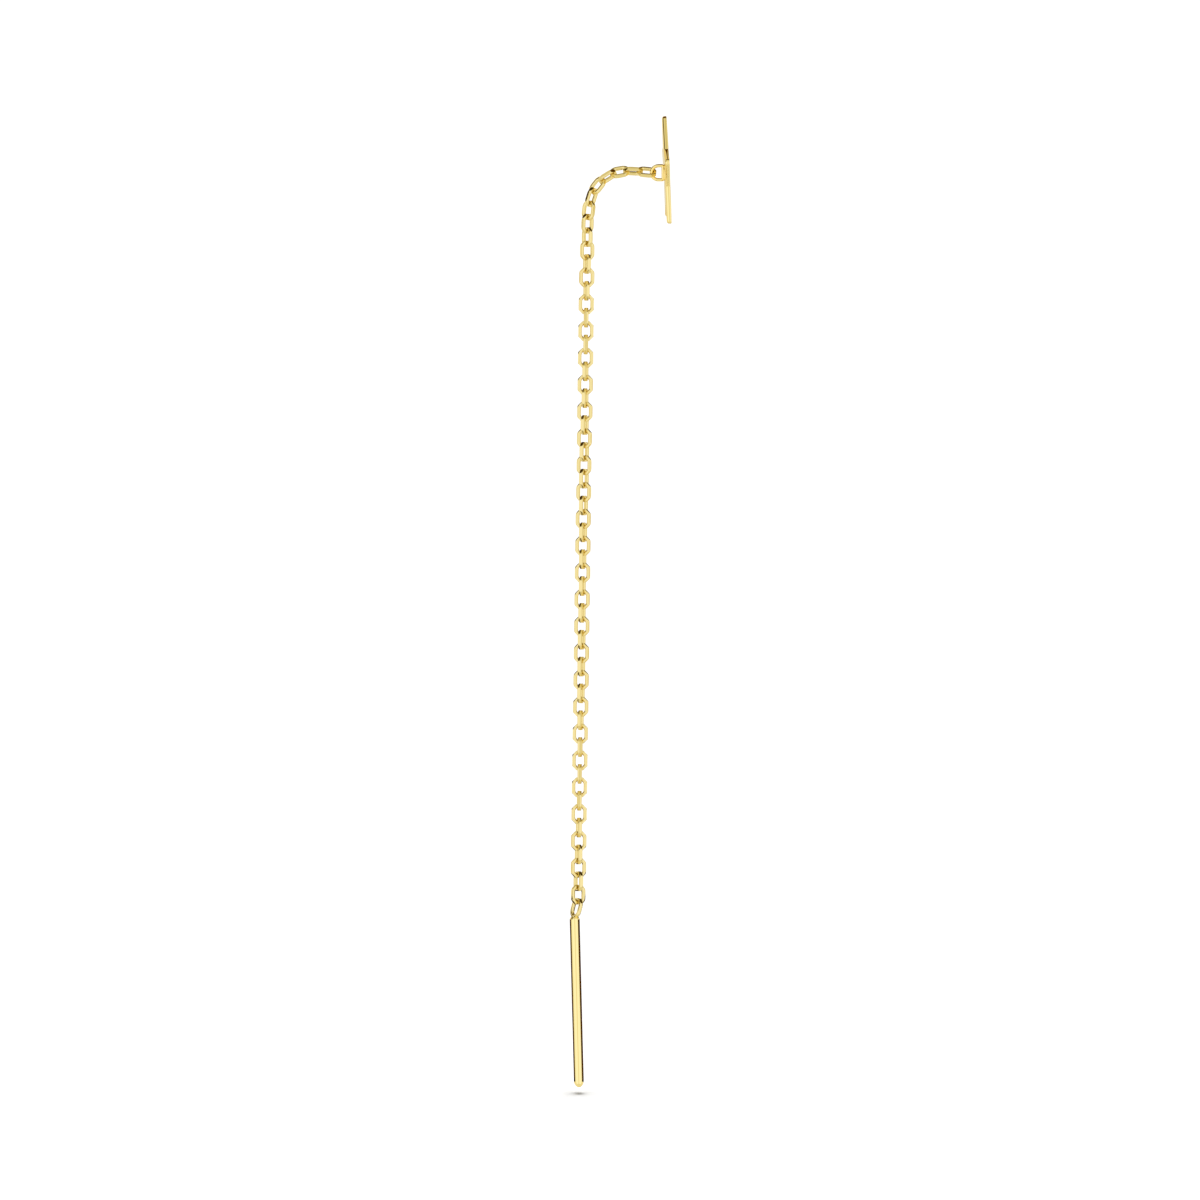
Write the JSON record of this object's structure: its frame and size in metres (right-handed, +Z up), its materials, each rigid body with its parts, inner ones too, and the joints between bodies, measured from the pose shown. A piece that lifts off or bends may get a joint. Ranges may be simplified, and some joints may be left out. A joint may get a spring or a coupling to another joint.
{
  "type": "threader earring",
  "caption": "Threader earring of yellow gold: a flat star on a soldered ring, a fine cut cable chain and a slim round threading bar.",
  "frame": {"origin": "on the short level run of chain that lies through the ear lobe", "axes": "+Z up along the hanging chain, +X from the hanging chain towards the star's face, -Y the side the picture looks at"},
  "size_m": [0.0081, 0.0087, 0.0777],
  "materials": {
    "gold": "polished"
  },
  "bodies": {
    "earring": {"star_front": "gold", "chain": "gold"},
    "bar": {"threader_bar": "gold"}
  },
  "joints": [
    {"name": "bar_swing", "type": "hinge", "parent": "earring", "child": "bar", "pos_m": [-0.00415, 0, -0.05863], "axis": [0.8386, 0.5446, -0.0078], "range_deg": [-90, 90]}
  ]
}
